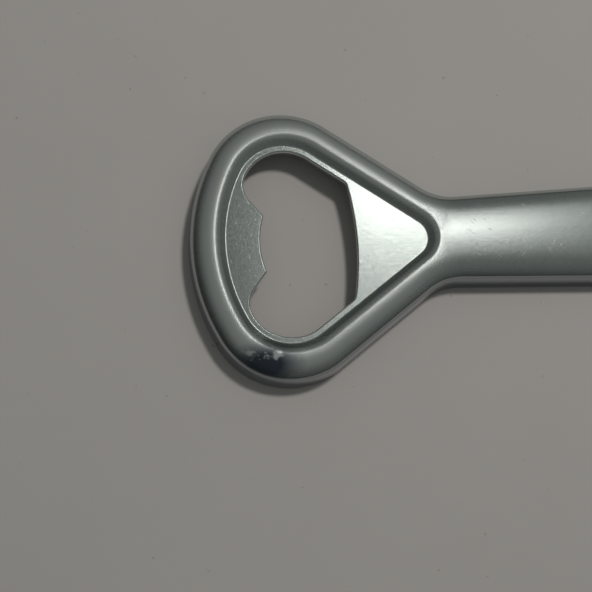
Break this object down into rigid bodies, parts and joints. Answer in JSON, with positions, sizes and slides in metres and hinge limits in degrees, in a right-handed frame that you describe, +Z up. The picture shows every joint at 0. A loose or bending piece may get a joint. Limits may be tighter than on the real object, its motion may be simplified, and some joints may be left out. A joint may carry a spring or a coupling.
{
  "type": "keychain bottle opener",
  "caption": "Pressed steel bottle opener with a rounded-triangle head, toothed cap opening, domed handle, and a split key ring on a jump ring.",
  "frame": {"origin": "on the resting plane, midway between the opener's nose and the far end of the split ring, on the middle line", "axes": "+X along the handle towards the key ring, +Y across the head, +Z up, out of the domed face"},
  "size_m": [0.1336, 0.0468, 0.0106],
  "materials": {
    "plated_steel": "worn satin nickel plate on pressed sheet steel",
    "ring_wire": "bright nickel-plated spring wire"
  },
  "bodies": {
    "opener": {"opener_body": "plated_steel"},
    "jump_ring": {"jump_ring": "ring_wire"},
    "split_ring": {"split_ring": "ring_wire"}
  },
  "joints": [
    {"name": "jump_ring_swing", "type": "hinge", "parent": "opener", "child": "jump_ring", "pos_m": [0.03939, 0, 0.00535], "axis": [0, -1, 0], "range_deg": [-80, 115]},
    {"name": "split_ring_swing", "type": "hinge", "parent": "jump_ring", "child": "split_ring", "pos_m": [0.04295, 0, 0.00535], "axis": [0, -1, 0], "range_deg": [-80, 60]}
  ]
}
